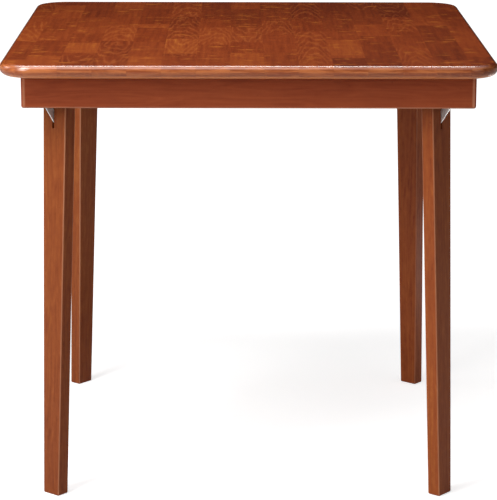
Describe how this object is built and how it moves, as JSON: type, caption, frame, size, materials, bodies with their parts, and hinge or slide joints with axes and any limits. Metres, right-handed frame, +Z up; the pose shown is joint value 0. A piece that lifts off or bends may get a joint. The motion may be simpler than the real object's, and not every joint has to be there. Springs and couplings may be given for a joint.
{
  "type": "folding card table",
  "caption": "Square wooden card table with a rounded bullnose top on mitred rails and splayed, tapered legs that fold in under the top, each held open by a slotted steel brace.",
  "frame": {"origin": "on the floor under the middle of the top, legs unfolded", "axes": "+Z up; the front of the table faces -Y, as in the picture, and +X is to its right"},
  "size_m": [0.8128, 0.8128, 0.7493],
  "materials": {
    "top_wood": "satin lacquer",
    "rail_wood": "satin lacquer",
    "leg_wood": "satin lacquer",
    "block_wood": "bare, sawn",
    "plug_wood": "satin lacquer",
    "zinc_steel": "bright zinc plate",
    "brace_steel": "zinc plate",
    "screw_steel": "zinc plate",
    "washer_nylon": "natural nylon"
  },
  "bodies": {
    "frame": {"tabletop": "top_wood", "rail_front": "rail_wood", "rail_right": "rail_wood", "rail_back": "rail_wood", "rail_left": "rail_wood", "corner_block_front_left": "block_wood", "leg_bracket_front_left": "zinc_steel", "brace_bracket_front_left": "zinc_steel", "brace_rivet_front_left": "screw_steel", "corner_block_front_right": "block_wood", "leg_bracket_front_right": "zinc_steel", "brace_bracket_front_right": "zinc_steel", "brace_rivet_front_right": "screw_steel", "corner_block_back_right": "block_wood", "leg_bracket_back_right": "zinc_steel", "brace_bracket_back_right": "zinc_steel", "brace_rivet_back_right": "screw_steel", "corner_block_back_left": "block_wood", "leg_bracket_back_left": "zinc_steel", "brace_bracket_back_left": "zinc_steel", "brace_rivet_back_left": "screw_steel", "bracket_screws": "screw_steel", "block_screws": "screw_steel"},
    "leg_front_left": {"leg_front_left": "leg_wood", "pivot_screws_front_left": "screw_steel", "pivot_washers_front_left": "washer_nylon", "brace_pin_front_left": "screw_steel", "pin_plug_front_left": "plug_wood"},
    "brace_front_left": {"brace_front_left": "brace_steel"},
    "leg_front_right": {"leg_front_right": "leg_wood", "pivot_screws_front_right": "screw_steel", "pivot_washers_front_right": "washer_nylon", "brace_pin_front_right": "screw_steel", "pin_plug_front_right": "plug_wood"},
    "brace_front_right": {"brace_front_right": "brace_steel"},
    "leg_back_right": {"leg_back_right": "leg_wood", "pivot_screws_back_right": "screw_steel", "pivot_washers_back_right": "washer_nylon", "brace_pin_back_right": "screw_steel", "pin_plug_back_right": "plug_wood"},
    "brace_back_right": {"brace_back_right": "brace_steel"},
    "leg_back_left": {"leg_back_left": "leg_wood", "pivot_screws_back_left": "screw_steel", "pivot_washers_back_left": "washer_nylon", "brace_pin_back_left": "screw_steel", "pin_plug_back_left": "plug_wood"},
    "brace_back_left": {"brace_back_left": "brace_steel"}
  },
  "joints": [
    {"name": "leg_fold_front_left", "type": "hinge", "parent": "frame", "child": "leg_front_left", "pos_m": [-0.31436, -0.31157, 0.68475], "axis": [0.766, -0.6428, 0], "range_deg": [0, 94.2]},
    {"name": "brace_swing_front_left", "type": "hinge", "parent": "leg_front_left", "child": "brace_front_left", "pos_m": [-0.3187, -0.31363, 0.64468], "axis": [0.766, -0.6428, 0], "range_deg": [-37.1, 0]},
    {"name": "leg_fold_front_right", "type": "hinge", "parent": "frame", "child": "leg_front_right", "pos_m": [0.31157, -0.31436, 0.68475], "axis": [0.6428, 0.766, 0], "range_deg": [0, 90.5]},
    {"name": "brace_swing_front_right", "type": "hinge", "parent": "leg_front_right", "child": "brace_front_right", "pos_m": [0.31363, -0.3187, 0.64468], "axis": [0.6428, 0.766, 0], "range_deg": [-35.7, 0]},
    {"name": "leg_fold_back_right", "type": "hinge", "parent": "frame", "child": "leg_back_right", "pos_m": [0.31436, 0.31157, 0.68475], "axis": [-0.766, 0.6428, 0], "range_deg": [0, 94.2]},
    {"name": "brace_swing_back_right", "type": "hinge", "parent": "leg_back_right", "child": "brace_back_right", "pos_m": [0.3187, 0.31363, 0.64468], "axis": [-0.766, 0.6428, 0], "range_deg": [-37.1, 0]},
    {"name": "leg_fold_back_left", "type": "hinge", "parent": "frame", "child": "leg_back_left", "pos_m": [-0.31157, 0.31436, 0.68475], "axis": [-0.6428, -0.766, 0], "range_deg": [0, 90.5]},
    {"name": "brace_swing_back_left", "type": "hinge", "parent": "leg_back_left", "child": "brace_back_left", "pos_m": [-0.31363, 0.3187, 0.64468], "axis": [-0.6428, -0.766, 0], "range_deg": [-35.7, 0]}
  ],
  "couplings": [
    {"joint": "brace_swing_front_left", "follows": "leg_fold_front_left", "ratio": -0.3935},
    {"joint": "brace_swing_front_right", "follows": "leg_fold_front_right", "ratio": -0.3935},
    {"joint": "brace_swing_back_right", "follows": "leg_fold_back_right", "ratio": -0.3935},
    {"joint": "brace_swing_back_left", "follows": "leg_fold_back_left", "ratio": -0.3935}
  ]
}
